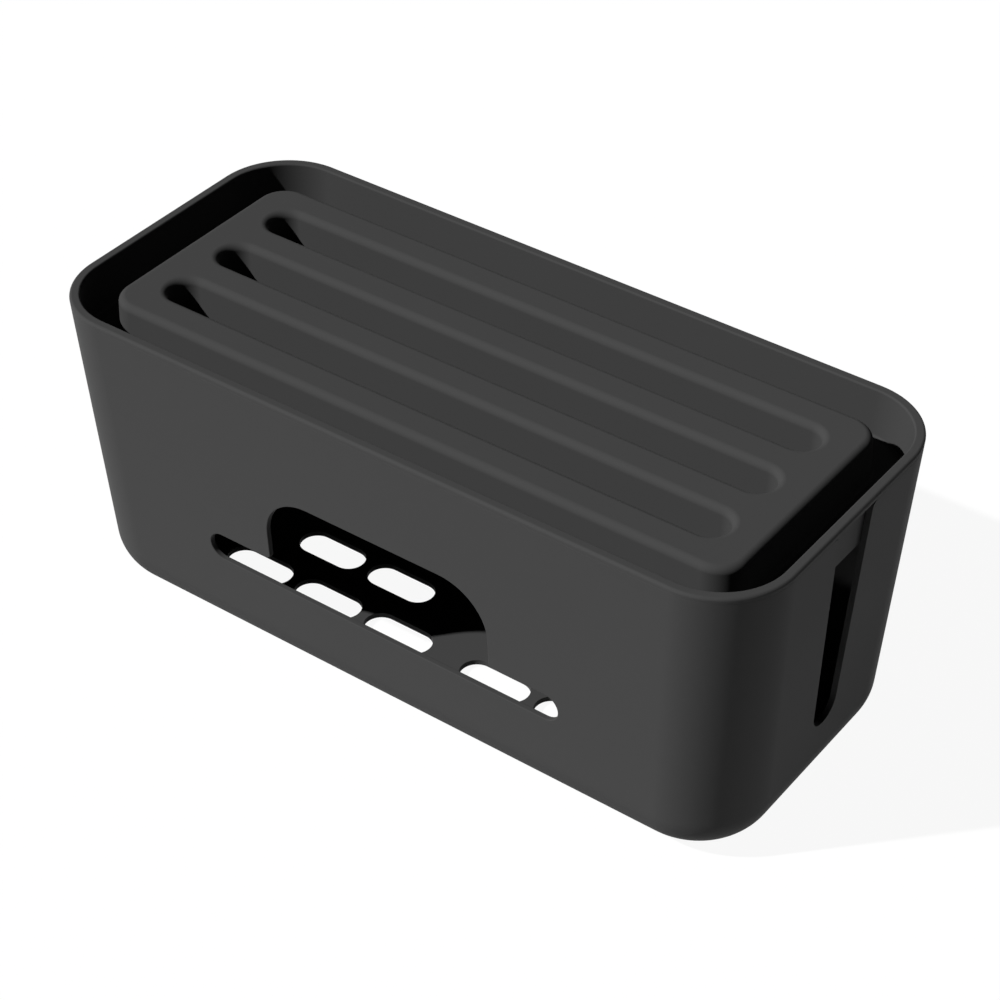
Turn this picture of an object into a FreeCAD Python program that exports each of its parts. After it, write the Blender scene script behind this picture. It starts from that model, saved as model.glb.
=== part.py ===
"""Cable management box: a drafted tub with a tray-shaped lift-off lid and four anti-slip feet.

Millimetres, +Z up, +X along the long side, -Y is the side with the cable window.
The origin is the centre of the footprint, on the surface that the feet stand on.
"""
import FreeCAD, Part
import math
import os

# Box, measured on the outside: at the rim for the plan, underside to rim for the height
BOX_LENGTH = 320.0
BOX_WIDTH = 142.0
BOX_HEIGHT = 134.0
WALL_LEAN_DEG = 3.0
CORNER_RADIUS = 31.0
UNDERSIDE_RADIUS = 21.0
WALL_THICKNESS = 2.4
FLOOR_THICKNESS = 2.4
INNER_BEVEL = 11.2

# Window in the front wall: a long slit with a raised middle, heights above the underside
SLIT_LENGTH = 165.0
SLIT_BOTTOM_HEIGHT = 42.2
SLIT_TOP_HEIGHT = 54.7
RAISED_LENGTH = 103.5
RAISED_TOP_HEIGHT = 89.0
RAISED_CORNER_RADIUS = 21.0
STEP_CORNER_RADIUS = 2.0

# Cable slot in each end wall, open at the top and closed there by the lid
SLOT_MOUTH_WIDTH = 23.3
SLOT_FOOT_WIDTH = 14.9
SLOT_BOTTOM_HEIGHT = 33.8
SLOT_MOUTH_RADIUS = 3.0

# Vents in the floor: staggered rows, mirrored about the middle of the length
VENT_LENGTH = 31.5
VENT_WIDTH = 14.2
VENT_PITCH = 36.0
VENT_ROW_PITCH = 25.2
OUTER_ROW_FIRST_VENT = 24.0
MIDDLE_ROW_FIRST_VENT = 42.0
OUTER_ROW_VENTS_PER_SIDE = 3
MIDDLE_ROW_VENTS_PER_SIDE = 2

# Lid: a rim that rests on the walls, a thin skirt inside them and a trough round a plateau
RIM_THICKNESS = 2.5
RIM_BEVEL = 0.8
LID_CLEARANCE = 0.3
SKIRT_THICKNESS = 1.4
TROUGH_DEPTH = 20.0
LID_FLOOR_THICKNESS = 2.2
LID_WALL_THICKNESS = 2.0

# Plateau on the lid, sized at its top face, with the grooves that hold a phone or tablet
PLATEAU_LENGTH = 283.0
PLATEAU_WIDTH = 104.0
PLATEAU_DROP = 2.5
PLATEAU_CORNER_RADIUS = 12.0
PLATEAU_ROUNDING = 3.0
PLATEAU_LEAN_DEG = 1.5
GROOVE_COUNT = 3
GROOVE_LENGTH = 254.0
GROOVE_WIDTH = 15.0
GROOVE_PITCH = 30.0
GROOVE_LEAN_DEG = 1.0

# Anti-slip feet, each set in a shallow seat under a corner of the floor
FOOT_DIAMETER = 12.0
FOOT_STANDOFF = 1.0
FOOT_SEAT_DEPTH = 0.8
FOOT_SEAT_CLEARANCE = 0.3
FOOT_INSET_LENGTHWAYS = 39.0
FOOT_INSET_WIDTHWAYS = 37.0

# How far a cutting shape runs past the face that it opens
OVERRUN = 2.0

# Heights in the frame of the part
UNDERSIDE = FOOT_STANDOFF
RIM_TOP = UNDERSIDE + BOX_HEIGHT
RIM_SEAT = RIM_TOP - RIM_THICKNESS
TROUGH_FLOOR = RIM_TOP - TROUGH_DEPTH
LID_UNDERSIDE = TROUGH_FLOOR - LID_FLOOR_THICKNESS
PLATEAU_TOP = RIM_TOP - PLATEAU_DROP

# How far each face of the lid lies inside the outer face of the box
SKIRT_INSET = WALL_THICKNESS + LID_CLEARANCE
TROUGH_INSET = SKIRT_INSET + SKIRT_THICKNESS

TOLERANCE = 1e-4


def point(x, y, z):
    """Short name for a point or direction."""
    return FreeCAD.Vector(x, y, z)


def rounded_outline(corners, place):
    """Closed wire through corners (u, v, radius), rounded by tangent arcs and set in space by place(u, v)."""
    count = len(corners)
    spans = []
    for index, (u, v, radius) in enumerate(corners):
        before = corners[index - 1]
        after = corners[(index + 1) % count]
        back = math.atan2(before[1] - v, before[0] - u)
        ahead = math.atan2(after[1] - v, after[0] - u)
        half = abs(math.remainder(ahead - back, 2 * math.pi)) / 2
        reach = radius / math.tan(half)
        middle = back + math.remainder(ahead - back, 2 * math.pi) / 2
        depth = radius / math.sin(half) - radius
        start = (u + reach * math.cos(back), v + reach * math.sin(back))
        crown = (u + depth * math.cos(middle), v + depth * math.sin(middle))
        end = (u + reach * math.cos(ahead), v + reach * math.sin(ahead))
        spans.append((place(*start), place(*crown), place(*end)))
    edges = []
    for index, (start, crown, end) in enumerate(spans):
        if start.distanceToPoint(end) > TOLERANCE:
            edges.append(Part.Arc(start, crown, end).toShape())
        onward = spans[(index + 1) % count][0]
        if end.distanceToPoint(onward) > TOLERANCE:
            edges.append(Part.LineSegment(end, onward).toShape())
    return Part.Wire(edges)


def leaning_block(length, width, radius, lean_deg, low, high, level):
    """Upright block with rounded corners whose sides lean outwards going up; its plan is given at a level."""
    slope = math.tan(math.radians(lean_deg))
    x_low, x_high = (length / 2 + slope * (height - level) for height in (low, high))
    y_low, y_high = (width / 2 + slope * (height - level) for height in (low, high))
    wedge = Part.makeWedge(-x_low, low, -y_low, -y_high, -x_high, x_low, high, y_low, y_high, x_high)
    wedge.rotate(point(0, 0, 0), point(1, 0, 0), 90)
    corners = [edge for edge in wedge.Edges if edge.BoundBox.ZLength > (high - low) / 2]
    return wedge.makeFillet(radius, corners)


def box_space(inset, low, high):
    """Solid with the leaning faces of the box moved in by inset, between two heights."""
    length = BOX_LENGTH - 2 * inset
    width = BOX_WIDTH - 2 * inset
    return leaning_block(length, width, CORNER_RADIUS - inset, WALL_LEAN_DEG, low, high, RIM_TOP)


def stadium_prism(length, width, low, high):
    """Upright prism with full-round ends, long side along X, about the Z axis."""
    corners = []
    for u, v in ((1, 1), (-1, 1), (-1, -1), (1, -1)):
        corners.append((u * length / 2, v * width / 2, width / 2))
    wire = rounded_outline(corners, lambda u, v: point(u, v, low))
    return Part.Face(wire).extrude(point(0, 0, high - low))


def flat_faces_at(shape, height):
    """Faces of a shape that lie flat at a height."""
    found = []
    for face in shape.Faces:
        box = face.BoundBox
        if abs(box.ZMin - height) < TOLERANCE and abs(box.ZMax - height) < TOLERANCE:
            found.append(face)
    return found


def round_outline(shape, radius, height):
    """Round the outer edge of the flat face at a height."""
    return shape.makeFillet(radius, flat_faces_at(shape, height)[0].OuterWire.Edges)


def bevel_outline(shape, size, height):
    """Bevel the outer edge of the flat face at a height."""
    return shape.makeChamfer(size, flat_faces_at(shape, height)[0].OuterWire.Edges)


def box_shell():
    """Tub with leaning walls, a floor and a generous radius round the underside."""
    outside = box_space(0, UNDERSIDE, RIM_SEAT)
    outside = round_outline(outside, UNDERSIDE_RADIUS, UNDERSIDE)
    inside = box_space(WALL_THICKNESS, UNDERSIDE + FLOOR_THICKNESS, RIM_SEAT + OVERRUN)
    return outside.cut(bevel_outline(inside, INNER_BEVEL, UNDERSIDE + FLOOR_THICKNESS))


def window_tool():
    """Prism of the slit with its raised middle, from outside the front wall to the middle of the box."""
    low = UNDERSIDE + SLIT_BOTTOM_HEIGHT
    step = UNDERSIDE + SLIT_TOP_HEIGHT
    high = UNDERSIDE + RAISED_TOP_HEIGHT
    end_radius = (step - low) / 2
    far = SLIT_LENGTH / 2
    near = RAISED_LENGTH / 2
    corners = [
        (-far, low, end_radius),
        (far, low, end_radius),
        (far, step, end_radius),
        (near, step, STEP_CORNER_RADIUS),
        (near, high, RAISED_CORNER_RADIUS),
        (-near, high, RAISED_CORNER_RADIUS),
        (-near, step, STEP_CORNER_RADIUS),
        (-far, step, end_radius),
    ]
    front = -BOX_WIDTH / 2 - OVERRUN
    wire = rounded_outline(corners, lambda u, v: point(u, front, v))
    return Part.Face(wire).extrude(point(0, -front, 0))


def slot_tool():
    """Prism of the open-topped cable slot, run through both end walls at once."""
    low = UNDERSIDE + SLOT_BOTTOM_HEIGHT
    mouth = SLOT_MOUTH_WIDTH / 2
    foot = SLOT_FOOT_WIDTH / 2
    lean = math.atan2(mouth - foot, RIM_SEAT - low)
    foot_radius = foot * math.tan((math.pi / 2 + lean) / 2)
    reach = mouth + SLOT_MOUTH_RADIUS + OVERRUN
    corners = [
        (-reach, RIM_SEAT, 0),
        (-mouth, RIM_SEAT, SLOT_MOUTH_RADIUS),
        (-foot, low, foot_radius),
        (foot, low, foot_radius),
        (mouth, RIM_SEAT, SLOT_MOUTH_RADIUS),
        (reach, RIM_SEAT, 0),
        (reach, RIM_SEAT + OVERRUN, 0),
        (-reach, RIM_SEAT + OVERRUN, 0),
    ]
    end = BOX_LENGTH / 2 + OVERRUN
    wire = rounded_outline(corners, lambda u, v: point(-end, u, v))
    return Part.Face(wire).extrude(point(2 * end, 0, 0))


def vent_centres():
    """Middles of the floor vents: two outer rows and a middle row shifted by half a pitch."""
    rows = [
        (-VENT_ROW_PITCH, OUTER_ROW_FIRST_VENT, OUTER_ROW_VENTS_PER_SIDE),
        (0, MIDDLE_ROW_FIRST_VENT, MIDDLE_ROW_VENTS_PER_SIDE),
        (VENT_ROW_PITCH, OUTER_ROW_FIRST_VENT, OUTER_ROW_VENTS_PER_SIDE),
    ]
    centres = []
    for y, first, per_side in rows:
        for index in range(per_side):
            for side in (-1, 1):
                centres.append((side * (first + index * VENT_PITCH), y))
    return centres


def vent_tools():
    """One round-ended prism for each vent, through the floor."""
    top = UNDERSIDE + FLOOR_THICKNESS + OVERRUN
    unit = stadium_prism(VENT_LENGTH, VENT_WIDTH, UNDERSIDE - OVERRUN, top)
    return [unit.translated(point(x, y, 0)) for x, y in vent_centres()]


def foot_centres():
    """Name and middle of each foot, one under each corner."""
    x = BOX_LENGTH / 2 - FOOT_INSET_LENGTHWAYS
    y = BOX_WIDTH / 2 - FOOT_INSET_WIDTHWAYS
    return {
        "foot_front_left": (-x, -y),
        "foot_front_right": (x, -y),
        "foot_back_left": (-x, y),
        "foot_back_right": (x, y),
    }


def foot_seat_tools():
    """Shallow round seats in the underside."""
    radius = FOOT_DIAMETER / 2 + FOOT_SEAT_CLEARANCE
    height = FOOT_SEAT_DEPTH + OVERRUN
    centres = foot_centres().values()
    return [Part.makeCylinder(radius, height, point(x, y, UNDERSIDE - OVERRUN)) for x, y in centres]


def box_body():
    """The tub with its window, cable slots, vents and foot seats."""
    return box_shell().cut([window_tool(), slot_tool()] + vent_tools() + foot_seat_tools())


def plateau_block(inset, low, high):
    """Solid with the leaning sides of the plateau moved in by inset, between two heights."""
    length = PLATEAU_LENGTH - 2 * inset
    width = PLATEAU_WIDTH - 2 * inset
    radius = PLATEAU_CORNER_RADIUS - inset
    return leaning_block(length, width, radius, -PLATEAU_LEAN_DEG, low, high, PLATEAU_TOP)


def lid_shell():
    """Rim, skirt, trough and solid plateau, before the grooves are sunk."""
    rim = box_space(0, RIM_SEAT, RIM_TOP)
    rim = bevel_outline(rim, RIM_BEVEL, RIM_TOP)
    skirt = box_space(SKIRT_INSET, LID_UNDERSIDE, RIM_SEAT)
    pocket = box_space(TROUGH_INSET, TROUGH_FLOOR, RIM_TOP)
    tray = rim.fuse(skirt).cut(pocket)
    plateau = plateau_block(0, TROUGH_FLOOR, PLATEAU_TOP)
    return tray.fuse(round_outline(plateau, PLATEAU_ROUNDING, PLATEAU_TOP))


def groove_rows():
    """Places of the grooves across the plateau."""
    middle = (GROOVE_COUNT - 1) / 2
    return [(index - middle) * GROOVE_PITCH for index in range(GROOVE_COUNT)]


def groove_solids(half_section):
    """Round-ended solids, one for each groove: half a section run along X and turned about both ends."""
    run = (GROOVE_LENGTH - GROOVE_WIDTH) / 2
    half = Part.Face(rounded_outline(half_section, lambda u, v: point(run, u, v)))
    end = half.revolve(point(run, 0, 0), point(0, 0, 1), -180)
    side = half.extrude(point(-2 * run, 0, 0))
    pieces = [side, side.mirror(point(0, 0, 0), point(0, 1, 0)), end.mirror(point(0, 0, 0), point(1, 0, 0))]
    whole = end.multiFuse(pieces).removeSplitter()
    return [whole.translated(point(0, y, 0)) for y in groove_rows()]


def groove_half_width(height):
    """Half the width of a groove at a height, before its lip is rounded."""
    return GROOVE_WIDTH / 2 - math.tan(math.radians(GROOVE_LEAN_DEG)) * (PLATEAU_TOP - height)


def groove_tools():
    """What is cut out for the grooves: leaning walls and a lip that flares into the plateau."""
    above = PLATEAU_TOP + OVERRUN
    reach = groove_half_width(PLATEAU_TOP) + PLATEAU_ROUNDING + OVERRUN
    section = [
        (0, TROUGH_FLOOR, 0),
        (groove_half_width(TROUGH_FLOOR), TROUGH_FLOOR, 0),
        (groove_half_width(PLATEAU_TOP), PLATEAU_TOP, PLATEAU_ROUNDING),
        (reach, PLATEAU_TOP, 0),
        (reach, above, 0),
        (0, above, 0),
    ]
    return groove_solids(section)


def lid_hollow():
    """The space under the plateau, left between the walls of the grooves."""
    wall = LID_WALL_THICKNESS
    low = LID_UNDERSIDE - OVERRUN
    core = plateau_block(wall, low, PLATEAU_TOP - wall)
    jacket = [
        (0, low, 0),
        (groove_half_width(low) + wall, low, 0),
        (groove_half_width(PLATEAU_TOP) + wall, PLATEAU_TOP, 0),
        (0, PLATEAU_TOP, 0),
    ]
    return core.cut(groove_solids(jacket))


def lid():
    """Rim, trough and plateau as one thin moulding, with the grooves sunk in and the underside hollow."""
    return lid_shell().cut(groove_tools()).cut(lid_hollow())


def foot(x, y):
    """Round pad that fills its seat and stands proud of the floor."""
    return Part.makeCylinder(FOOT_DIAMETER / 2, FOOT_STANDOFF + FOOT_SEAT_DEPTH, point(x, y, 0))


def save(shape, name):
    """Write one piece, and say how many solids it has and how big it is."""
    solid = shape.removeSplitter()
    if len(solid.Solids) == 1:
        solid = solid.Solids[0]
    solid.exportStep("parts/" + name + ".step")
    print(name, solid.ShapeType, len(shape.Solids), solid.isValid(), round(solid.Volume), solid.BoundBox)


def main():
    os.makedirs("parts", exist_ok=True)
    save(box_body(), "box_body")
    save(lid(), "lid")
    for name, (x, y) in foot_centres().items():
        save(foot(x, y), name)


main()
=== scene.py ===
"""Looks of a cable management box: a tub, its tray-shaped lid and four feet.

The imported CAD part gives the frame. The tub, the lid and the feet are shown by finer surfaces of the same
sizes, worked out with numpy, so that every moulded edge has its small radius and a true normal.
Lengths in the classes are millimetres, in the frame of the part, and become metres when a mesh is made.
"""

import logging
import math
from dataclasses import dataclass, field
from enum import Enum
from typing import Any, Callable, Dict, Iterable, List, Optional, Sequence, Tuple, Union

import bpy
import numpy as np
from mathutils import Matrix, Vector
from mathutils.geometry import delaunay_2d_cdt


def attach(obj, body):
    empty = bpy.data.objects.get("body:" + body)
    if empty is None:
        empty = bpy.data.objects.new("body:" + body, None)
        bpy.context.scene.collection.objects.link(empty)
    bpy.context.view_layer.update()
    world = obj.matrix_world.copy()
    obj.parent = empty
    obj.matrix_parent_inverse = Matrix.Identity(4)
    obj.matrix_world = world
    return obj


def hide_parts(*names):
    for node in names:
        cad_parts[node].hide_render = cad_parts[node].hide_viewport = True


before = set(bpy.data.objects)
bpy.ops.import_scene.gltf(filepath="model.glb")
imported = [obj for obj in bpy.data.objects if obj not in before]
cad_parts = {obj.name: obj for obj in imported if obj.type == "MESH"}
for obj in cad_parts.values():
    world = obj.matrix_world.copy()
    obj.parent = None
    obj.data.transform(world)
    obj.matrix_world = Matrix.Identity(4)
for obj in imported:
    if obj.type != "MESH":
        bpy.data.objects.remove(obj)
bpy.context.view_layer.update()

LOG = logging.getLogger("cable_box")
MM = 0.001
EDGE_STEPS = 5  # intervals in the round of a small edge
JOIN_DIGITS = 3  # points that agree to this many decimals of a millimetre become one
SAME_SPOT = 1e-6  # two points of a loop that lie closer than this, in mm, count as one
TRIANGLES_INSIDE = 1  # kind of mesh asked of the Delaunay function: triangles inside the loops
DELAUNAY_REACH = 1e-7  # distance in mm within which that function joins points

Array = np.ndarray
Level = Union[float, np.ndarray]  # one height, or an array of them
Pair = Tuple[float, float]
Triple = Tuple[float, float, float]
Tree = bpy.types.NodeTree
Socket = bpy.types.NodeSocket


class Side(Enum):
    """The straight stretches of a rounded rectangle, in the order that its outline meets them."""

    BACK = 0
    LEFT = 1
    FRONT = 2
    RIGHT = 3


# --- outlines, plans and panels ---------------------------------------------------------------------------


def turn(start: float, stop: float, steps: int) -> Array:
    """Evenly spaced angles.

    Args:
        start: first angle in degrees.
        stop: last angle in degrees.
        steps: number of intervals.

    Returns:
        The angles in radians, steps + 1 of them.
    """
    return np.radians(np.linspace(start, stop, steps + 1))


@dataclass(frozen=True)
class Outline:
    """A curve in a plane, with unit normals that point out of the material."""

    points: Array
    normals: Array


def rounded(corners: Sequence[Triple], steps: int, closed: bool = True) -> Outline:
    """Outline through corners, each replaced by an arc that touches both of its sides.

    An arc of radius r where the way bends by b starts r tan(b / 2) before the corner. Its centre lies r to
    the side of the bend, and its points are the centre + r (cos t, sin t) while t turns through b.

    Args:
        corners: u, v and radius of each corner.
        steps: intervals in each arc.
        closed: whether the last corner joins the first; if not, they are end points.

    Returns:
        The outline, with its normals to the right of the way that the corners run.
    """
    spots = np.array([corner[:2] for corner in corners], float)
    points: List[Array] = []
    normals: List[Array] = []
    for index, (_, _, radius) in enumerate(corners):
        here = spots[index]
        arriving = here - spots[index - 1]
        leaving = spots[(index + 1) % len(corners)] - here
        if not closed and index in (0, len(corners) - 1):
            way = leaving if index == 0 else arriving
            points.append(here[None])
            normals.append(np.array([[way[1], -way[0]]]) / np.linalg.norm(way))
            continue
        way = arriving / np.linalg.norm(arriving)
        bend = math.atan2(way[0] * leaving[1] - way[1] * leaving[0], float(way @ leaving))
        side = math.copysign(1.0, bend)
        right = np.array([way[1], -way[0]])
        centre = here - way * radius * math.tan(abs(bend) / 2) - right * side * radius
        angle = math.atan2(right[1], right[0]) + bend * np.linspace(0, 1, steps + 1)
        outward = np.stack([np.cos(angle), np.sin(angle)], 1)
        points.append(centre + side * radius * outward)
        normals.append(outward)
    return Outline(np.concatenate(points), np.concatenate(normals))


def both_edges(rounding: float, thickness: float) -> Tuple[Array, Array, Array, Array]:
    """Profile of a straight cut through a plate, with both of its edges rounded.

    For an angle a from 0 to 90 degrees the outer edge lies r (1 - sin a) back from the face of the cut, at
    depth r (1 - cos a), and its normal leans cos a out of the plate and sin a out of the cut. The inner
    edge mirrors it at the far face.

    Args:
        rounding: radius r of both edges.
        thickness: thickness of the plate.

    Returns:
        Of each row of the profile, the distance back, the depth, and both shares of the normal.
    """
    angle = turn(0, 90, EDGE_STEPS)
    back, depth = rounding * (1 - np.sin(angle)), rounding * (1 - np.cos(angle))
    backs = np.concatenate([back, back[::-1]])
    depths = np.concatenate([depth, thickness - depth[::-1]])
    out_of_plate = np.concatenate([np.cos(angle), -np.cos(angle[::-1])])
    out_of_cut = np.concatenate([np.sin(angle), np.sin(angle[::-1])])
    return backs, depths, out_of_plate, out_of_cut


@dataclass(frozen=True)
class Plan:
    """A rounded rectangle whose sides lean.

    Half length, half width and corner radius hold at the level. The slope is how far the sides move out per
    rise, and the steps are the intervals in each corner.
    """

    half_length: float
    half_width: float
    radius: float
    slope: float
    level: float
    steps: int = 30
    middle: Pair = (0.0, 0.0)

    def corner(self, height: Level) -> Tuple[Level, Level]:
        """Middle of the first quadrant's corner arc at a height, for a plan about the origin."""
        out = self.slope * (height - self.level) - self.radius
        return self.half_length + out, self.half_width + out

    def rings(self, section: Outline) -> Tuple[Array, Array]:
        """Carries a section round the plan.

        A section point lies q outside the level outline, at height z. Its ring is the rounded rectangle
        with half sides a + q and b + q and corner radius r = R + q - slope (z - level), whose corner points
        are the corner middle + r (cos t, sin t). The normal is the tangent round the ring crossed with the
        way that the section runs, on the side of the section's own normal.

        Args:
            section: q and z of the section, with its normals.

        Returns:
            Points and normals, as rows of the section, stations round the ring and x, y, z.
        """
        quarter = turn(0, 90, self.steps)
        angle = np.concatenate([quarter + k * math.pi / 2 for k in range(4)])
        sign_x = np.repeat([1.0, -1.0, -1.0, 1.0], len(quarter))
        sign_y = np.repeat([1.0, 1.0, -1.0, -1.0], len(quarter))
        cos, sin = np.cos(angle), np.sin(angle)
        q, z = section.points[:, :1], section.points[:, 1:]
        radius = self.radius + q - self.slope * (z - self.level)
        x = self.middle[0] + sign_x * (self.half_length + q - radius) + radius * cos
        y = self.middle[1] + sign_y * (self.half_width + q - radius) + radius * sin
        out, rise = section.normals[:, :1], section.normals[:, 1:]
        run_q, run_z = -rise, out
        run_r = run_q - self.slope * run_z
        run = np.stack(
            [
                sign_x * self.slope * run_z + run_r * cos,
                sign_y * self.slope * run_z + run_r * sin,
                run_z + 0 * cos,
            ],
            -1,
        )
        tangent = np.stack([-sin, cos, 0 * cos], -1)
        normals = np.cross(np.broadcast_to(tangent, run.shape), run)
        wanted = np.stack([out * cos, out * sin, rise + 0 * cos], -1)
        normals *= np.where(np.sum(normals * wanted, -1, keepdims=True) < 0, -1.0, 1.0)
        return np.stack([x, y, z + 0 * x], -1), normals

    def loop(self, q: float, z: float) -> Array:
        """The ring at one section point, as x and y."""
        return self.rings(Outline(np.array([[q, z]]), np.array([[0.0, 1.0]])))[0][0, :, :2]


@dataclass(frozen=True)
class Panel:
    """A flat wall or floor of even thickness: a point is origin + u across + v along + depth inward.

    The last field is the normal out of its outer face.
    """

    origin: Triple
    across: Triple
    along: Triple
    inward: Triple
    outside: Triple

    def place(self, spots: Array, depth: Level = 0.0) -> Array:
        """Puts points of the plane into space.

        Args:
            spots: u and v of each point, in the last axis.
            depth: depth of each point, or one for all.

        Returns:
            The points, with x, y and z in the last axis.
        """
        across, along, inward = (np.asarray(way) for way in (self.across, self.along, self.inward))
        flat = np.asarray(self.origin) + spots[..., :1] * across + spots[..., 1:] * along
        return flat + np.asarray(depth)[..., None] * inward

    def lie(self, normals: Array) -> Array:
        """Turns normals in the plane into normals of a cut that runs straight inward.

        Args:
            normals: u and v of each normal, in the last axis.

        Returns:
            The normals in space.
        """
        along, inward = np.asarray(self.along), np.asarray(self.inward)
        upright = along - (along @ inward) * inward
        return normals[..., :1] * np.asarray(self.across) + normals[..., 1:] * upright


# --- skins ------------------------------------------------------------------------------------------------


@dataclass
class Skin:
    """Collects patches of surface, each with its true normals, and joins them into one closed mesh."""

    name: str
    points: List[Array] = field(default_factory=list)
    normals: List[Array] = field(default_factory=list)
    faces: Dict[int, List[Array]] = field(default_factory=lambda: {4: [], 3: []})
    count: int = 0

    def add(self, points: Array, normals: Array, faces: Array) -> None:
        """Adds a patch, and turns each of its faces to the side of its normals.

        Args:
            points: positions in mm, one row each.
            normals: directions out of the material, one row each.
            faces: indices into the points, three or four to a row.
        """
        normals = normals / np.linalg.norm(normals, axis=1, keepdims=True)
        first = points[faces[:, 2]] - points[faces[:, 0]]
        second = points[faces[:, -1]] - points[faces[:, 1]]
        facing = np.sum(np.cross(first, second) * normals[faces].mean(1), -1)
        faces = np.where((facing < 0)[:, None], faces[:, ::-1], faces)
        self.points.append(points)
        self.normals.append(normals)
        self.faces[faces.shape[1]].append(faces + self.count)
        self.count += len(points)

    def grid(self, points: Array, normals: Array, skip: Iterable[int] = (), wrap: bool = False) -> None:
        """Adds a grid of quads.

        Args:
            points: positions, as rows, columns and x, y, z.
            normals: normals on the same grid.
            skip: columns of quads to leave out.
            wrap: whether the last column joins the first.
        """
        rows, columns = points.shape[:2]
        left_out = set(skip)
        kept = np.array([c for c in range(columns if wrap else columns - 1) if c not in left_out])
        low = np.arange(rows - 1)[:, None] * columns + kept[None]
        right = np.arange(rows - 1)[:, None] * columns + (kept[None] + 1) % columns
        quads = np.stack([low, right, right + columns, low + columns], -1).reshape(-1, 4)
        self.add(points.reshape(-1, 3), normals.reshape(-1, 3), quads)

    def ring(self, plan: Plan, section: Outline, skip: Iterable[Side] = ()) -> None:
        """Adds a section carried round a plan.

        Args:
            plan: the plan.
            section: the section, as q and z.
            skip: straight sides to leave open.
        """
        points, normals = plan.rings(section)
        straight = [(side.value + 1) * (plan.steps + 1) - 1 for side in skip]
        self.grid(points, normals, straight, wrap=True)

    def sheet(self, loops: Sequence[Array], panel: Panel, depth: float, normal: Sequence[float]) -> None:
        """Fills a flat region between loops with triangles.

        A constrained Delaunay mesh of the loops is cut to the triangles whose middle lies inside an odd
        number of loops, so holes stay open and islands in them are filled.

        Args:
            loops: closed loops of points in the plane of the panel.
            panel: the panel that the region is part of.
            depth: depth of the region in the panel.
            normal: the normal out of the material.
        """
        apart = [loop[np.linalg.norm(loop - np.roll(loop, 1, 0), axis=1) > SAME_SPOT] for loop in loops]
        flat = np.concatenate(apart)
        starts = np.cumsum([0] + [len(loop) for loop in apart])
        edges = [(a + i, a + (i + 1) % (b - a)) for a, b in zip(starts, starts[1:]) for i in range(b - a)]
        corners = [Vector(spot) for spot in flat]
        _, _, faces, origins, *_ = delaunay_2d_cdt(corners, edges, [], TRIANGLES_INSIDE, DELAUNAY_REACH)
        spots = flat[[origin[0] for origin in origins]]
        triangles = np.array(faces, int)
        middle = spots[triangles].mean(1)
        inside = np.zeros(len(triangles), bool)
        for loop in apart:
            inside ^= covers(loop, middle)
        normals = np.tile(np.asarray(normal, float), (len(spots), 1))
        self.add(panel.place(spots, depth), normals, triangles[inside])

    def cut(
        self,
        panel: Panel,
        edge: Outline,
        thickness: float,
        rounding: float,
        ends: Optional[Callable[[Level], Level]] = None,
    ) -> Array:
        """Adds the wall of an opening that runs straight through a panel, with both of its edges rounded.

        A point of the outline goes back along its normal, and inward, as both_edges says.

        Args:
            panel: the panel.
            edge: the wall of the opening; closed, or open where ends is given.
            thickness: thickness of the panel.
            rounding: radius of both edges.
            ends: half width of the panel at a height, for an edge that runs from its one side to its other.

        Returns:
            The outline of the opening in both faces of the panel.
        """
        backs, depths, facing, inside = both_edges(rounding, thickness)
        spots = edge.points[None] - backs[:, None, None] * edge.normals[None]
        if ends:
            spots[:, 0, 0], spots[:, -1, 0] = ends(spots[:, 0, 1]), -ends(spots[:, -1, 1])
        points = panel.place(spots, np.broadcast_to(depths[:, None], spots.shape[:2]))
        normals = facing[:, None, None] * np.asarray(panel.outside)
        normals = normals + inside[:, None, None] * panel.lie(edge.normals)[None]
        self.grid(points, normals, wrap=ends is None)
        return spots[0]

    def build(self, finish: "Finish", body: str, slot: str, node: str) -> None:
        """Joins the patches into a mesh object, dresses it and lets it stand for a CAD node.

        Args:
            finish: the finish.
            body: the CAD body that it rides on.
            slot: the material slot of the record; it is not used.
            node: the CAD node that it replaces.
        """
        points, normals = np.concatenate(self.points), np.concatenate(self.normals)
        near = np.round(points, JOIN_DIGITS)
        _, first, same = np.unique(near, axis=0, return_index=True, return_inverse=True)
        same = same.reshape(-1)
        parts = [part for faces in self.faces[4] + self.faces[3] for part in without_doubles(same, faces)]
        corners = np.concatenate([part.ravel() for part in parts])
        sizes = np.concatenate([np.full(len(part), part.shape[1]) for part in parts])
        mesh = bpy.data.meshes.new(self.name)
        mesh.vertices.add(len(first))
        mesh.vertices.foreach_set("co", (points[first] * MM).astype(np.float32).ravel())
        mesh.loops.add(len(corners))
        mesh.loops.foreach_set("vertex_index", same[corners].astype(np.int32))
        mesh.polygons.add(len(sizes))
        starts = np.concatenate([[0], np.cumsum(sizes)[:-1]])
        mesh.polygons.foreach_set("loop_start", starts.astype(np.int32))
        mesh.update(calc_edges=True)
        mesh.polygons.foreach_set("use_smooth", np.ones(len(sizes), bool))
        mesh.normals_split_custom_set(normals[corners].astype(np.float32))
        thing = bpy.data.objects.new(self.name, mesh)
        bpy.context.scene.collection.objects.link(thing)
        mesh.materials.append(finish.material())
        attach(thing, body)
        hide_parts(node)
        counts = (len(first), len(sizes), open_edges(mesh))
        LOG.info("%s: %d vertices, %d faces, %d open edges", self.name, *counts)


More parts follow.
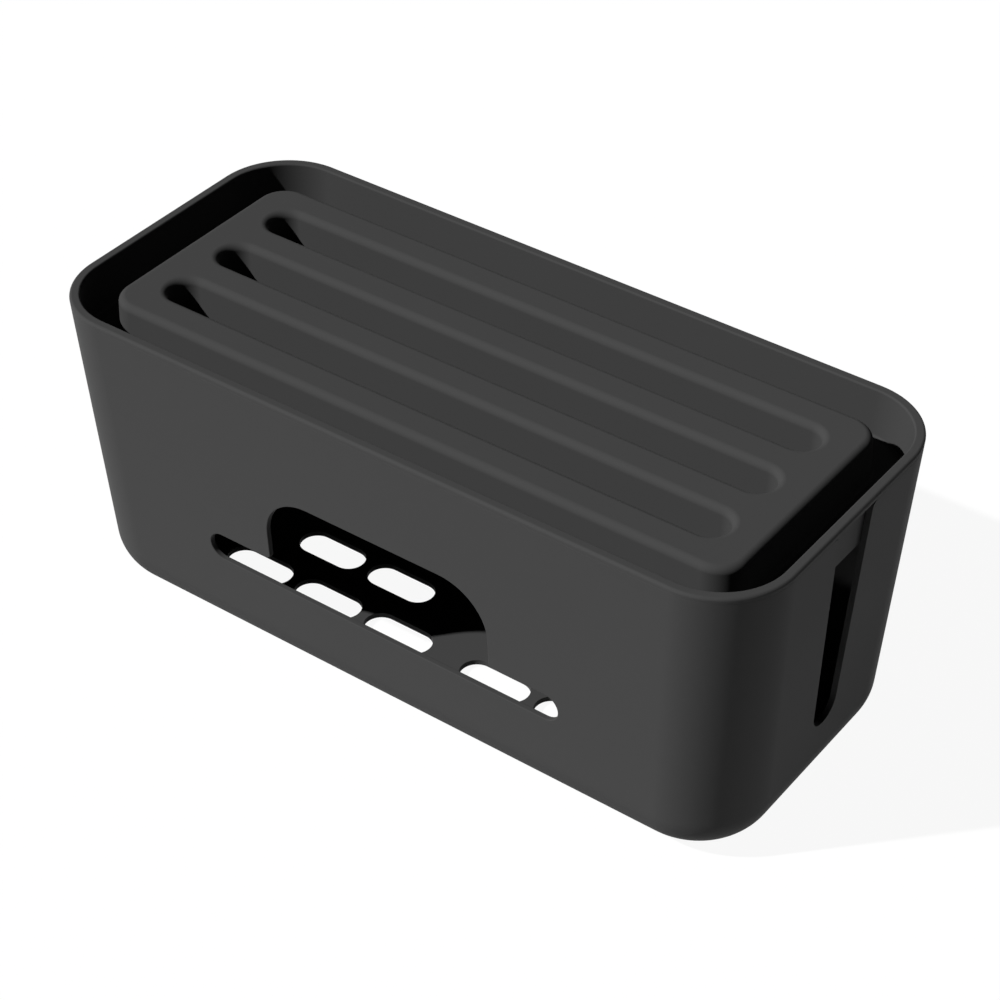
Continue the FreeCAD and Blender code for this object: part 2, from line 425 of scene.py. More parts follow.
def covers(loop: Array, spots: Array) -> Array:
    """Whether each spot is inside a loop: a ray to the right of it crosses the loop an odd number of times.

    Args:
        loop: points of the loop.
        spots: points to test.

    Returns:
        One truth value for each spot.
    """
    a, b = loop, np.roll(loop, -1, 0)
    x, y = spots[:, :1], spots[:, 1:]
    rising = (a[:, 1] > y) != (b[:, 1] > y)
    with np.errstate(divide="ignore", invalid="ignore"):
        crossing = a[:, 0] + (y - a[:, 1]) * (b[:, 0] - a[:, 0]) / (b[:, 1] - a[:, 1])
    return np.sum(rising & (x < crossing), axis=1) % 2 == 1


def without_doubles(same: Array, faces: Array) -> List[Array]:
    """Faces that keep their shape when points that lie together become one.

    Args:
        same: number of the joined point of each point.
        faces: the faces, as numbers of points.

    Returns:
        The whole faces, and the triangles left of quads with one collapsed side.
    """
    joined = same[faces]
    doubled = joined == np.roll(joined, -1, axis=1)
    parts = [faces[~doubled.any(1)]]
    if faces.shape[1] == 4:
        single = doubled.sum(1) == 1
        parts.append(faces[single][~doubled[single]].reshape(-1, 3))
    return [part for part in parts if len(part)]


def open_edges(mesh: bpy.types.Mesh) -> int:
    """Number of edges that don't lie between exactly two faces."""
    edges = np.zeros(len(mesh.loops), np.int32)
    mesh.loops.foreach_get("edge_index", edges)
    return int(np.sum(np.bincount(edges, minlength=len(mesh.edges)) != 2))


# --- sub-assemblies ---------------------------------------------------------------------------------------


RIGHTWARD, LEFTWARD, BACKWARD = (1.0, 0.0, 0.0), (-1.0, 0.0, 0.0), (0.0, 1.0, 0.0)
UP, DOWN = (0.0, 0.0, 1.0), (0.0, 0.0, -1.0)
FLAT = Panel((0.0, 0.0, 0.0), RIGHTWARD, BACKWARD, UP, DOWN)


@dataclass(frozen=True)
class Shape:
    """Sizes that the pieces share: the leaning faces of the box, given at the top of the rim, and levels.

    The rim's seat is where it rests on the walls. A foot's place is its x and y, with both signs of each.
    """

    half_length: float = 160.0
    half_width: float = 71.0
    corner_radius: float = 31.0
    lean: float = math.tan(math.radians(3.0))
    underside: float = 1.0
    rim_top: float = 135.0
    rim_seat: float = 132.5
    foot_place: Pair = (121.0, 34.0)

    def plan(self) -> Plan:
        """Plan of the leaning faces."""
        return Plan(self.half_length, self.half_width, self.corner_radius, self.lean, self.rim_top)

    def face(self, inset: float, height: Level) -> Level:
        """How far outside the rim's outline the leaning face, moved in by an inset, lies at a height."""
        return -inset + self.lean * (height - self.rim_top)


@dataclass
class Tub:
    """The tub: leaning walls, a round underside, the window, the end slots and the vents.

    The window has the edge radius; the slots, the vents and the top of the wall have the crisp one.
    slit: half length, lower and upper level of the window's long slit.
    raised: half length, upper level and corner radius of the window's raised middle.
    slot: half width at the mouth and at the foot, lowest level, and radius at the mouth.
    foot_share: a hair under one, so that the two arcs at the slot's foot don't quite meet.
    vent: half length and half width.
    vent_rows: y of each row, and x of its vents, with both signs.
    seat: radius and depth of a foot's seat.
    """

    shape: Shape = field(default_factory=Shape)
    finish: "Finish" = field(default_factory=lambda: MouldedAbs("moulded_abs_tub"))
    wall: float = 2.4
    underside_radius: float = 21.0
    underside_steps: int = 24
    edge_radius: float = 0.4
    crisp_radius: float = 0.1
    slit: Triple = (82.5, 43.2, 55.7)
    raised: Triple = (51.75, 90.0, 21.0)
    step_radius: float = 2.0
    slot: Tuple[float, float, float, float] = (11.65, 7.45, 34.8, 3.0)
    foot_share: float = 0.999
    opening_steps: int = 14
    vent: Pair = (15.75, 7.1)
    vent_rows: Tuple[Tuple[float, Tuple[float, ...]], ...] = (
        (-25.2, (24.0, 60.0, 96.0)),
        (0.0, (42.0, 78.0)),
        (25.2, (24.0, 60.0, 96.0)),
    )
    seat: Pair = (6.3, 0.8)
    small_steps: int = 12

    def corner_of(self, axis: int) -> Callable[[Level], Level]:
        """Half length (axis 0) or half width (axis 1) of a wall's flat part, as a function of height."""
        return lambda height: self.shape.plan().corner(height)[axis]

    def bottom(self, inset: float, radius: float) -> Outline:
        """Round between wall and floor: an arc that touches the leaning wall and the level floor.

        Its middle is one radius above the floor and one radius, square to the wall, inside the wall. Its
        points are the middle + radius (cos t, sin t), with t from straight down to square to the wall.

        Args:
            inset: how far the wall face lies inside the outer face.
            radius: radius of the round.

        Returns:
            The section, from the floor to the wall.
        """
        middle = self.shape.underside + inset + radius
        lean = math.atan(self.shape.lean)
        centre = self.shape.face(inset, middle) - radius / math.cos(lean)
        angle = turn(-90, -math.degrees(lean), self.underside_steps)
        way = np.stack([np.cos(angle), np.sin(angle)], 1)
        return Outline(np.array([centre, middle]) + radius * way, way if inset == 0 else -way)

    def upright(self, inset: float, low: float, side: float) -> Outline:
        """Straight run of a wall face, from a low end to the start of its top edge.

        Args:
            inset: how far the wall face lies inside the outer face.
            low: level of the low end.
            side: 1 for a normal to the outside and -1 for one to the inside.

        Returns:
            The section, from its low end up.
        """
        heights = np.array([low, self.shape.rim_seat - self.crisp_radius])
        points = np.stack([self.shape.face(inset, heights), heights], 1)
        normal = side * np.array([1.0, -self.shape.lean]) / math.hypot(1.0, self.shape.lean)
        return Outline(points, np.tile(normal, (2, 1)))

    def top(self) -> Outline:
        """Top of the wall, a level cut with both of its edges rounded.

        Returns:
            The section, from the outside to the inside.
        """
        drops, depths, out, up = both_edges(self.crisp_radius, self.wall)
        heights = self.shape.rim_seat - drops
        points = np.stack([self.shape.face(0, heights) - depths, heights], 1)
        return Outline(points, np.stack([out, up], 1))

    def panels(self) -> Dict[Side, Panel]:
        """The flat parts of the front wall and of both end walls, which lean out as they rise.

        Returns:
            The panel of each side that has an opening.
        """
        lean, top = self.shape.lean, self.shape.rim_top
        width, length = self.shape.half_width - lean * top, self.shape.half_length - lean * top
        front = Panel((0.0, -width, 0.0), RIGHTWARD, (0.0, -lean, 1.0), BACKWARD, (0.0, -1.0, -lean))
        right = Panel((length, 0.0, 0.0), BACKWARD, (lean, 0.0, 1.0), LEFTWARD, (1.0, 0.0, -lean))
        left = Panel((-length, 0.0, 0.0), BACKWARD, (-lean, 0.0, 1.0), RIGHTWARD, (-1.0, 0.0, -lean))
        return {Side.FRONT: front, Side.RIGHT: right, Side.LEFT: left}

    def window(self) -> Outline:
        """Window: a long slit with a raised middle and rounded corners.

        Returns:
            The outline, run clockwise, so that its normals point into the hole.
        """
        far, low, step = self.slit
        near, high, round_top = self.raised
        end = (step - low) / 2
        slit = [(-far, low, end), (-far, step, end)]
        left = slit + [(-near, step, self.step_radius), (-near, high, round_top)]
        right = [(-u, v, radius) for u, v, radius in reversed(left)]
        return rounded(left + right, self.opening_steps)

    def slot_edge(self) -> Outline:
        """Top of an end wall with its slot: level, down one side of the slot, round its foot and up again.

        Returns:
            The outline, from the one side of the wall's flat part to the other.
        """
        mouth, foot, low, mouth_radius = self.slot
        seat = self.shape.rim_seat
        lean = math.atan2(mouth - foot, seat - low)
        foot_radius = foot * math.tan((math.pi / 2 + lean) / 2)
        side = self.corner_of(1)(seat)
        right = [(side, seat, 0.0), (mouth, seat, mouth_radius), (foot, low, foot_radius * self.foot_share)]
        left = [(-u, v, radius) for u, v, radius in reversed(right)]
        return rounded(right + left, self.opening_steps, closed=False)

    def stadium(self, x: float, y: float) -> Outline:
        """Vent: a round-ended hole.

        Args:
            x: x of its middle.
            y: y of its middle.

        Returns:
            The outline, run clockwise.
        """
        length, width = self.vent
        corners = [(x + i * length, y + j * width, width) for i, j in ((-1, -1), (-1, 1), (1, 1), (1, -1))]
        return rounded(corners, self.small_steps)

    def build(self) -> None:
        """Builds the tub."""
        skin = Skin("tub_moulding")
        shape, plan, wall = self.shape, self.shape.plan(), self.wall
        outside = self.bottom(0.0, self.underside_radius)
        inside = self.bottom(wall, self.underside_radius - wall)
        openings = (Side.FRONT, Side.LEFT, Side.RIGHT)
        skin.ring(plan, outside)
        skin.ring(plan, inside)
        skin.ring(plan, self.upright(0.0, outside.points[-1, 1], 1.0), openings)
        skin.ring(plan, self.upright(wall, inside.points[-1, 1], -1.0), openings)
        skin.ring(plan, self.top(), (Side.LEFT, Side.RIGHT))
        seat = shape.rim_seat - self.crisp_radius
        faces = ((0.0, outside.points[-1, 1], 1.0), (wall, inside.points[-1, 1], -1.0))
        for side, panel in self.panels().items():
            half = self.corner_of(0 if side is Side.FRONT else 1)
            if side is Side.FRONT:
                hole = skin.cut(panel, self.window(), wall, self.edge_radius)
            else:
                hole = skin.cut(panel, self.slot_edge(), wall, self.crisp_radius, half)
            for depth, low, way in faces:
                foot = np.array([[-half(low), low], [half(low), low]])
                head = np.array([[half(seat), seat], [-half(seat), seat]])
                closed = [np.concatenate([foot, head]), hole]
                loops = closed if side is Side.FRONT else [np.concatenate([hole, foot])]
                skin.sheet(loops, panel, depth, [way * n for n in panel.outside])
        self.floor(skin, outside, inside)
        skin.build(self.finish, "box", "box_plastic", "box_body")

    def floor(self, skin: Skin, outside: Outline, inside: Outline) -> None:
        """Adds the floor with its vents and the seats of the feet.

        Args:
            skin: the skin of the tub.
            outside: round of the underside, which starts where the floor ends.
            inside: the same on the inside.
        """
        underside = self.shape.underside
        panel = Panel((0.0, 0.0, underside), RIGHTWARD, BACKWARD, UP, DOWN)
        plan = self.shape.plan()
        vents = [self.stadium(i * x, y) for y, row in self.vent_rows for x in row for i in (-1, 1)]
        holes = [skin.cut(panel, vent, self.wall, self.crisp_radius) for vent in vents]
        radius, depth = self.seat
        inward = np.array([[-1.0, 0.0], [-1.0, 0.0]])
        side = Outline(np.array([[0.0, underside], [0.0, underside + depth]]), inward)
        seats: List[Array] = []
        for i in (-1, 1):
            for j in (-1, 1):
                middle = (i * self.shape.foot_place[0], j * self.shape.foot_place[1])
                well = Plan(radius, radius, radius, 0.0, 0.0, self.small_steps, middle)
                skin.ring(well, side)
                seats.append(well.loop(0.0, 0.0))
                skin.sheet([seats[-1]], panel, depth, DOWN)
        skin.sheet([plan.loop(*outside.points[0])] + holes + seats, panel, 0.0, DOWN)
        skin.sheet([plan.loop(*inside.points[0])] + holes, panel, self.wall, UP)


@dataclass
class Lid:
    """The lid: a rim, a thin skirt under it, and a trough round a plateau with three grooves.

    rim_radii: radii of the rim's lower outer, upper outer and upper inner edge.
    plateau: half length, half width and corner radius at its top.
    groove: half length and half width at the top of the plateau.
    run, long_run: length of the level ends of the sections, where a flat sheet takes over.
    """

    shape: Shape = field(default_factory=Shape)
    finish: "Finish" = field(default_factory=lambda: MouldedAbs("moulded_abs_lid"))
    underside: float = 112.8
    trough_floor: float = 115.0
    skirt_inset: float = 2.7
    trough_inset: float = 4.1
    rim_radii: Triple = (0.1, 1.2, 0.8)
    hidden_radius: float = 0.4
    ceiling_radius: float = 1.0
    trough_radius: float = 1.5
    plateau: Triple = (141.5, 52.0, 12.0)
    plateau_top: float = 132.5
    plateau_radius: float = 3.0
    plateau_lean: float = -math.tan(math.radians(1.5))
    groove: Pair = (127.0, 7.5)
    groove_pitch: float = 30.0
    groove_lean: float = math.tan(math.radians(1.0))
    groove_radius: float = 2.0
    groove_steps: int = 20
    wall: float = 2.0
    run: float = 1.0
    long_run: float = 1.5
    rim_steps: int = 8
    lip_steps: int = 12
    hidden_steps: int = 4

    def tray(self) -> Outline:
        """Section of skirt, rim and trough.

        Returns:
            The section, run from under the skirt over the rim to the floor of the trough.
        """
        face, low, floor = self.shape.face, self.underside, self.trough_floor
        seat, top = self.shape.rim_seat, self.shape.rim_top
        bottom, outer, inner = self.rim_radii
        corners = [
            (face(self.skirt_inset, low) - self.run, low, 0.0),
            (face(self.skirt_inset, low), low, self.hidden_radius),
            (face(self.skirt_inset, seat), seat, self.hidden_radius),
            (face(0.0, seat), seat, bottom),
            (face(0.0, top), top, outer),
            (face(self.trough_inset, top), top, inner),
            (face(self.trough_inset, floor), floor, self.trough_radius),
            (face(self.trough_inset, floor) - self.trough_radius - self.run, floor, 0.0),
        ]
        return rounded(corners, self.rim_steps, closed=False)

    def plateau_plan(self) -> Plan:
        """Plan of the plateau, given at its top."""
        return Plan(*self.plateau, self.plateau_lean, self.plateau_top)

    def groove_plans(self) -> List[Plan]:
        """Plans of the three grooves, given at the top of the plateau."""
        size = (*self.groove, self.groove[1], 0.0, self.plateau_top, self.groove_steps)
        return [Plan(*size, (0.0, k * self.groove_pitch)) for k in (-1, 0, 1)]

    def side(self, lean: float, moved: float, first: Triple, last: Triple, steps: int) -> Outline:
        """Section of a side that leans between two levels, rounded into a level run at both of them.

        Args:
            lean: how far the side goes out per rise, from its outline at the plateau's top.
            moved: how far it is moved out.
            first: where it starts: its level, the radius there, and how far out the level run begins.
            last: where it stops: its level, the radius there, and how far out the level run ends.
            steps: intervals in each round.

        Returns:
            The section, from the first level to the last.
        """
        start, stop = (lean * (end[0] - self.plateau_top) + moved for end in (first, last))
        corners = [(start + first[2], first[0], 0.0), (start, *first[:2])]
        corners += [(stop, *last[:2]), (stop + last[2], last[0], 0.0)]
        return rounded(corners, steps, closed=False)

    def sides(self) -> Tuple[Outline, Outline, Outline, Outline]:
        """Sections of the plateau's side and a groove's side, each on the face and in the hollow below.

        Returns:
            The plateau's side from the trough up, a groove's side from its lip down, the hollow's outer
            side from the ceiling down, and the wall round a groove from the underside up.
        """
        low, floor, top, wall = self.underside, self.trough_floor, self.plateau_top, self.wall
        trough, lip, sole = self.trough_radius, self.plateau_radius, self.groove_radius
        hidden, run, long_run = self.hidden_radius, self.run, self.long_run
        ceiling, inner = top - wall, self.ceiling_radius
        flank, bank = self.plateau_lean, self.groove_lean
        few, many = self.hidden_steps, self.lip_steps
        return (
            self.side(flank, 0.0, (floor, trough, trough + run), (top, lip, -lip - long_run), many),
            self.side(bank, 0.0, (top, lip, lip + run), (floor, sole, -sole - run), many),
            self.side(flank, -wall, (ceiling, inner, -long_run), (low, hidden, run), few),
            self.side(bank, wall, (low, hidden, -run), (ceiling, inner, long_run), few),
        )

    def build(self) -> None:
        """Builds the lid."""
        skin = Skin("lid_moulding")
        tray, plateau, grooves = self.shape.plan(), self.plateau_plan(), self.groove_plans()
        rim, (side, groove, hollow, jacket) = self.tray(), self.sides()
        skin.ring(tray, rim)
        skin.ring(plateau, side)
        skin.ring(plateau, hollow)
        for plan in grooves:
            skin.ring(plan, groove)
            skin.ring(plan, jacket)
            skin.sheet([plan.loop(*groove.points[-1])], FLAT, self.trough_floor, UP)
        skin.sheet([tray.loop(*rim.points[-1]), plateau.loop(*side.points[0])], FLAT, self.trough_floor, UP)
        lips = [plan.loop(*groove.points[0]) for plan in grooves]
        skin.sheet([plateau.loop(*side.points[-1])] + lips, FLAT, self.plateau_top, UP)
        roots = [plan.loop(*jacket.points[-1]) for plan in grooves]
        skin.sheet([plateau.loop(*hollow.points[0])] + roots, FLAT, self.plateau_top - self.wall, DOWN)
        soles = [plan.loop(*jacket.points[0]) for plan in grooves]
        below = [tray.loop(*rim.points[0]), plateau.loop(*hollow.points[-1])]
        skin.sheet(below + soles, FLAT, self.underside, DOWN)
        skin.build(self.finish, "lid", "lid_plastic", "lid")


@dataclass
class Feet:
    """Four round pads, each in a shallow seat under the floor."""

    shape: Shape = field(default_factory=Shape)
    finish: "Finish" = field(default_factory=lambda: FootRubber("punched_rubber_foot"))
    radius: float = 6.0
    height: float = 1.8
    edge_radius: float = 0.3
    run: float = 1.0
    edge_steps: int = 4
    corner_steps: int = 12

    def build(self) -> None:
        """Builds the feet: each is a section with two rounded edges turned about its middle."""
        radius, edge, height = self.radius, self.edge_radius, self.height
        corners = [(-self.run, 0.0, 0.0), (0.0, 0.0, edge), (0.0, height, edge), (-self.run, height, 0.0)]
        section = rounded(corners, self.edge_steps, closed=False)
        x, y = self.shape.foot_place
        for front, j in (("front", -1), ("back", 1)):
            for left, i in (("left", -1), ("right", 1)):
                plan = Plan(radius, radius, radius, 0.0, 0.0, self.corner_steps, (i * x, j * y))
                skin = Skin(f"foot_pad_{front}_{left}")
                skin.ring(plan, section)
                skin.sheet([plan.loop(*section.points[0])], FLAT, 0.0, DOWN)
                skin.sheet([plan.loop(*section.points[-1])], FLAT, height, UP)
                skin.build(self.finish, "box", "foot_rubber", f"foot_{front}_{left}")


# --- finishes ---------------------------------------------------------------------------------------------


def linear(colour: str) -> Tuple[float, float, float, float]:
    """Turns an sRGB colour to linear: c / 12.92 up to 0.04045, and ((c + 0.055) / 1.055) ^ 2.4 above.

    Args:
        colour: the colour as a hex string.

    Returns:
        Linear red, green and blue, and an alpha of one.
    """
    parts = np.array([int(colour[i : i + 2], 16) for i in (1, 3, 5)]) / 255
    low, high = parts / 12.92, ((parts + 0.055) / 1.055) ** 2.4
    return (*(float(x) for x in np.where(parts <= 0.04045, low, high)), 1.0)


def add_node(
    tree: Tree, kind: str, inputs: Optional[Dict[Any, Any]] = None, **settings: Any
) -> bpy.types.Node:
    """Adds a node to a tree.

    Args:
        tree: the node tree.
        kind: the class of the node.
        inputs: values or output sockets for its inputs, by name or number.
        settings: properties of the node.

    Returns:
        The new node.
    """
    made = tree.nodes.new(kind)
    for name, value in settings.items():
        setattr(made, name, value)
    for key, value in (inputs or {}).items():
        if isinstance(value, Socket):
            tree.links.new(value, made.inputs[key])
        else:
            made.inputs[key].default_value = value
    return made


def looked_at(tree: Tree) -> Socket:
    """Adds nodes that give one for camera, transmission and glossy rays, and nought for diffuse ones.

    Args:
        tree: the node tree.

    Returns:
        The socket with that number.
    """
    path = add_node(tree, "ShaderNodeLightPath").outputs
    seen = path["Is Camera Ray"]
    for kind in ("Is Transmission Ray", "Is Glossy Ray"):
        seen = add_node(tree, "ShaderNodeMath", {0: seen, 1: path[kind]}, operation="MAXIMUM").outputs[0]
    return seen


@dataclass(frozen=True)
class Finish:
    """A finish: the name of its real material and the way to build it."""

    name: str

    def material(self) -> bpy.types.Material:
        """Makes the material of this finish once, and then reuses it.

        Returns:
            The material.
        """
        found = bpy.data.materials.get(self.name)
        if found:
            return found
        made = bpy.data.materials.new(self.name)
        made.use_nodes = True
        made.node_tree.nodes.clear()
        self.weave(made.node_tree)
        return made

    def weave(self, tree: Tree) -> None:
        """Adds the nodes; each finish says how."""
        raise NotImplementedError


@dataclass(frozen=True)
class Grained(Finish):
    """A dull finish that runs from dark to light over a pattern, with pits that follow a fine grain."""

    light: str
    dark: str
    grain_size: float
    grain_detail: float
    grain_depth: float

    def coat(self, tree: Tree, pattern: Socket, grain: Socket, inputs: Dict[str, Any]) -> None:
        """Adds the shader.

        Args:
            tree: the node tree of the material.
            pattern: what turns dark to light.
            grain: height of the grain.
            inputs: the shader's other inputs.
        """
        shades = {0: pattern, 6: linear(self.dark), 7: linear(self.light)}
        tone = add_node(tree, "ShaderNodeMix", shades, data_type="RGBA").outputs[2]
        pits = {"Height": grain, "Distance": self.grain_depth * MM, "Strength": 1.0}
        bump = add_node(tree, "ShaderNodeBump", pits).outputs[0]
        shader = add_node(tree, "ShaderNodeBsdfPrincipled", {"Base Color": tone, "Normal": bump, **inputs})
        add_node(tree, "ShaderNodeOutputMaterial", {"Surface": shader.outputs[0]})


@dataclass(frozen=True)
class MouldedAbs(Grained):
    """ABS moulded in a spark-eroded tool: an even, fine, satin grain, with shade painted into its pits to
    make them a little darker.

    The real grain is about 0.1 mm; it is drawn 0.5 mm across, the finest that shows in the picture.
    Broad, faint bands of flow, some centimetres wide, keep the large faces from looking painted.
    The span is the part of its range that noise fills, and the pair after it is what the grain makes of it:
    a tone that paints shade into the grain's pits, and part of the roughness.
    """

    light: str = "#424242"
    # the darker tone, reached in flow bands and as painted shade in the grain's pits
    dark: str = "#3f3f3f"
    roughness: float = 0.6
    roughness_play: float = 0.03
    grain_size: float = 0.5
    grain_detail: float = 3.0
    grain_depth: float = 0.02
    flow_size: float = 60.0
    flow_detail: float = 2.0
    span: Pair = (0.3, 0.7)
    # narrow range of the grain's share of tone and roughness; its tone paints shade into the pits
    grain_and_pit_shade: Pair = (0.35, 0.65)
    ior: float = 1.53
    specular: float = 0.021

    def weave(self, tree: Tree) -> None:
        """Adds grain as bump and as shade painted into its pits, flow as a change of tone, and both as a
        change of roughness.

        Args:
            tree: the node tree of the material.
        """
        place = add_node(tree, "ShaderNodeTexCoord").outputs["Object"]
        waves = {"Vector": place, "Scale": 1 / (self.flow_size * MM), "Detail": self.flow_detail}
        specks = {"Vector": place, "Scale": 1 / (self.grain_size * MM), "Detail": self.grain_detail}
        flow = add_node(tree, "ShaderNodeTexNoise", waves).outputs[0]
        grain = add_node(tree, "ShaderNodeTexNoise", specks).outputs[0]
        span = {1: self.span[0], 2: self.span[1]}
        fine = {"Value": grain, **span, 3: self.grain_and_pit_shade[0], 4: self.grain_and_pit_shade[1]}
        # the grain, mapped to a narrower range, darkens the tone where its bump is low: painted shade in
        # the pits
        grain_and_pit_shade = add_node(tree, "ShaderNodeMapRange", fine).outputs[0]
        both = add_node(tree, "ShaderNodeMix", {"Factor": 0.5, "A": flow, "B": grain_and_pit_shade}).outputs[0]
        low, high = self.roughness - self.roughness_play, self.roughness + self.roughness_play
        rough = add_node(tree, "ShaderNodeMapRange", {"Value": both, **span, 3: low, 4: high}).outputs[0]
        inputs = {"Roughness": rough, "IOR": self.ior, "Specular IOR Level": self.specular}
        self.coat(tree, both, grain, inputs)


@dataclass(frozen=True)
class FootRubber(Grained):
    """Black rubber, punched from sheet: dull, with a soft, uneven surface and a dusty bloom."""

    light: str = "#2f2e2d"
    dark: str = "#242424"
    roughness: Pair = (0.78, 0.92)
    grain_size: float = 0.8
    grain_detail: float = 4.0
    grain_depth: float = 0.03
    specular: float = 0.3

    def weave(self, tree: Tree) -> None:
        """Adds bloom as a change of tone and a shallow bump.

        Args:
            tree: the node tree of the material.
        """
        place = add_node(tree, "ShaderNodeTexCoord").outputs["Object"]
        specks = {"Vector": place, "Scale": 1 / (self.grain_size * MM), "Detail": self.grain_detail}
        bloom = add_node(tree, "ShaderNodeTexNoise", specks).outputs[0]
        low, high = self.roughness
        rough = add_node(tree, "ShaderNodeMapRange", {"Value": bloom, 3: low, 4: high}).outputs[0]
        self.coat(tree, bloom, bloom, {"Roughness": rough, "Specular IOR Level": self.specular})


@dataclass(frozen=True)
class PaleSweep(Finish):
    """White card of the studio sweep: nearly white to the camera and in reflections.

    Near the object the card keeps a share of real light, so that a faint shadow stays in it. Farther off
    than about a metre it is an even white to the eye, and black drapes take up the light that falls there,
    so that none of it gets back into the hollows of the lid.
    """

    card: str = "#b8b8b8"
    drape: str = "#000000"
    bright: str = "#ffffff"
    glow: float = 0.93
    shadow_reach: Pair = (900.0, 1500.0)

    def weave(self, tree: Tree) -> None:
        """Adds card and drapes for the light, and mostly an even white for what looks at them.

        Args:
            tree: the node tree of the material.
        """
        seen = looked_at(tree)
        place = add_node(tree, "ShaderNodeTexCoord").outputs["Object"]
        away = add_node(tree, "ShaderNodeVectorMath", {0: place}, operation="LENGTH").outputs["Value"]
        near, far = (reach * MM for reach in self.shadow_reach)
        even = add_node(tree, "ShaderNodeMapRange", {"Value": away, 1: near, 2: far, 3: self.glow, 4: 1.0})
        share = add_node(tree, "ShaderNodeMath", {0: seen, 1: even.outputs[0]}, operation="MULTIPLY")
        draped = add_node(tree, "ShaderNodeMapRange", {"Value": away, 1: near, 2: far})
        plain = {0: draped.outputs[0], 6: linear(self.card), 7: linear(self.drape)}
        cloth = add_node(tree, "ShaderNodeMix", plain, data_type="RGBA").outputs[2]
        shades = {0: seen, 6: cloth, 7: linear(self.bright)}
        shade = add_node(tree, "ShaderNodeMix", shades, data_type="RGBA").outputs[2]
        card = add_node(tree, "ShaderNodeBsdfDiffuse", {"Color": shade})
        white = add_node(tree, "ShaderNodeEmission", {"Color": linear(self.bright), "Strength": 1.0})
        blend = {0: share.outputs[0], 1: card.outputs[0], 2: white.outputs[0]}
        mixed = add_node(tree, "ShaderNodeMixShader", blend)
        add_node(tree, "ShaderNodeOutputMaterial", {"Surface": mixed.outputs[0]})


# --- studio -----------------------------------------------------------------------------------------------


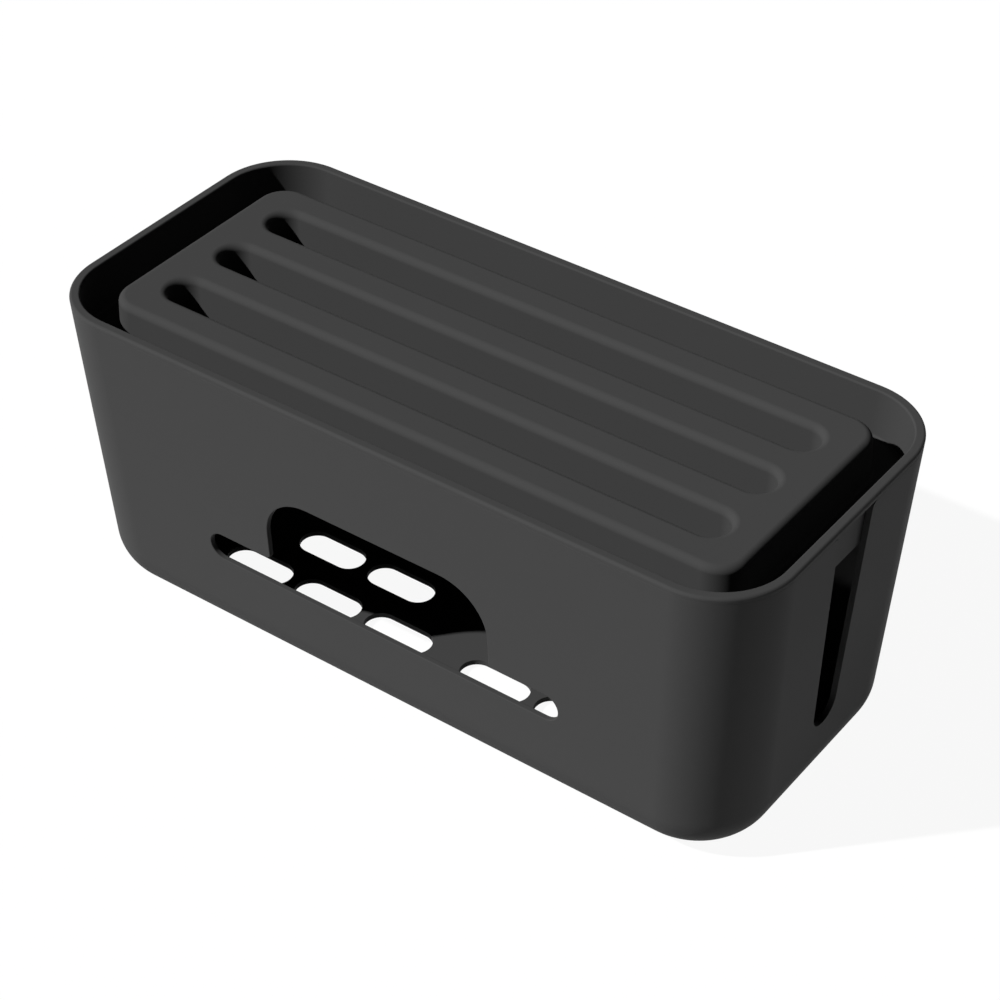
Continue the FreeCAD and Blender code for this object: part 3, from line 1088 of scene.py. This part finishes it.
@dataclass
class Studio:
    """Sweep, lamps and camera.

    The camera's angles, place and focal length were fitted to the outline of the box in the photograph.
    A level is the brightness that a lamp gives to a white face: the key to one that lies flat, and a strip
    to one square to it. The clip is the camera's nearest and farthest distance in metres.
    """

    azimuth: float = 36.279
    elevation: float = 38.3505
    eye: Triple = (477.1, -639.0, 697.2)
    focal_pixels: float = 2630.7
    frame_pixels: float = 1000.0
    sensor: float = 36.0
    clip: Pair = (0.01, 20.0)
    key_from: Triple = (-0.478, -0.569, 0.669)
    key_distance: float = 3000.0
    key_spread: float = 1.2
    key_level: float = 1.02
    strips: Tuple[Tuple[str, Triple, float], ...] = (
        ("front_strip", (-0.643, -0.766, -0.0165), 0.125),
        ("back_strip", (-0.342, 0.94, -0.0165), 0.55),
        ("right_strip", (0.819, 0.574, -0.0165), 0.15),
    )
    strip_distance: float = 2000.0
    strip_size: Pair = (1200.0, 60.0)
    ceiling_level: float = 0.02
    floor_rings: Triple = (1.0, 400.0, 1200.0)
    floor_radius: float = 3200.0
    wall_radius: float = 900.0
    wall_height: float = 1700.0
    wall_steps: int = 16
    stations: int = 96
    centre: Triple = (0.0, 0.0, 68.0)

    def sweep(self) -> None:
        """Builds the floor, whose edge turns up into a wall all round.

        The surface is a profile turned about the vertical: flat out to the floor radius, a quarter arc, and
        straight up to the top of the wall, which a camera level with the object can't look over.
        """
        turned = np.linspace(0, 2 * math.pi, self.stations + 1)[:-1]
        bend = turn(0, 90, self.wall_steps)
        bent = self.floor_radius + self.wall_radius * np.sin(bend)
        risen = self.wall_radius * (1 - np.cos(bend))
        radius = np.concatenate([self.floor_rings, bent, [self.floor_radius + self.wall_radius]])
        height = np.concatenate([np.zeros(len(self.floor_rings)), risen, [self.wall_height]])
        x, y = radius[:, None] * np.cos(turned), radius[:, None] * np.sin(turned)
        points = np.stack([x, y, height[:, None] + 0 * x], -1).reshape(-1, 3) * MM
        rows, columns = len(radius), len(turned)
        low = np.arange(rows - 1)[:, None] * columns + np.arange(columns)[None]
        right = np.arange(rows - 1)[:, None] * columns + (np.arange(columns)[None] + 1) % columns
        quads = np.stack([low, low + columns, right + columns, right], -1).reshape(-1, 4)
        mesh = bpy.data.meshes.new("sweep")
        mesh.from_pydata(points.tolist(), [], quads.tolist() + [list(range(columns))])
        mesh.polygons.foreach_set("use_smooth", np.ones(len(mesh.polygons), bool))
        thing = bpy.data.objects.new("sweep", mesh)
        bpy.context.scene.collection.objects.link(thing)
        mesh.materials.append(PaleSweep("white_card").material())

    def aim(self, name: str, light: bpy.types.Light, direction: Sequence[float], distance: float) -> None:
        """Hangs a lamp in a direction from the object and turns it to the object.

        Args:
            name: name of the lamp.
            light: its light.
            direction: from the object to the lamp.
            distance: distance in mm.
        """
        thing = bpy.data.objects.new(name, light)
        way = Vector(direction).normalized()
        thing.location = (Vector(self.centre) + way * distance) * MM
        thing.rotation_euler = way.to_track_quat("Z", "Y").to_euler()
        thing.visible_camera = False
        thing.visible_glossy = False
        bpy.context.scene.collection.objects.link(thing)

    def lamps(self) -> None:
        """Adds the key, a far lamp high at the front left, and low strips of light round the object.

        A white face of brightness L needs pi L of irradiance. That is the strength of a far lamp square to
        it, and a strip of power P at distance d, square to it, gives P / (pi d^2).
        """
        key = bpy.data.lights.new("key", "SUN")
        key.angle = math.radians(self.key_spread)
        key.energy = self.key_level * math.pi / Vector(self.key_from).normalized().z
        self.aim("key", key, self.key_from, self.key_distance)
        for name, direction, level in self.strips:
            strip = bpy.data.lights.new(name, "AREA")
            strip.shape = "RECTANGLE"
            strip.size, strip.size_y = self.strip_size[0] * MM, self.strip_size[1] * MM
            strip.energy = level * (math.pi * self.strip_distance * MM) ** 2
            self.aim(name, strip, direction, self.strip_distance)

    def camera(self) -> None:
        """Places the camera: it looks level with its own right, at the measured azimuth and elevation."""
        az, el = math.radians(self.azimuth), math.radians(self.elevation)
        right = Vector((math.cos(az), math.sin(az), 0.0))
        back = Vector((math.sin(az) * math.cos(el), -math.cos(az) * math.cos(el), math.sin(el)))
        up = back.cross(right)
        lens = bpy.data.cameras.new("view")
        lens.sensor_fit = "HORIZONTAL"
        lens.sensor_width = self.sensor
        lens.lens = self.focal_pixels / self.frame_pixels * self.sensor
        lens.clip_start, lens.clip_end = self.clip
        thing = bpy.data.objects.new("view", lens)
        turned = Matrix((right, up, back)).transposed()
        thing.matrix_world = Matrix.Translation(Vector(self.eye) * MM) @ turned.to_4x4()
        bpy.context.scene.collection.objects.link(thing)
        bpy.context.scene.camera = thing

    def world(self) -> None:
        """Sets a dim, even grey world: what a dark studio ceiling gives back."""
        world = bpy.data.worlds.new("studio")
        world.use_nodes = True
        light = world.node_tree.nodes["Background"].inputs
        light["Color"].default_value = linear("#ffffff")
        light["Strength"].default_value = self.ceiling_level
        bpy.context.scene.world = world

    def build(self) -> None:
        """Builds the studio."""
        self.sweep()
        self.lamps()
        self.camera()
        self.world()
        bpy.context.scene.view_settings.view_transform = "Standard"
        LOG.info("studio built")


# --- main -------------------------------------------------------------------------------------------------


def main() -> None:
    """Builds every piece in order."""
    logging.basicConfig(level=logging.INFO, format="%(name)s %(message)s")
    Tub().build()
    Lid().build()
    Feet().build()
    Studio().build()


if __name__ == "__main__":
    main()
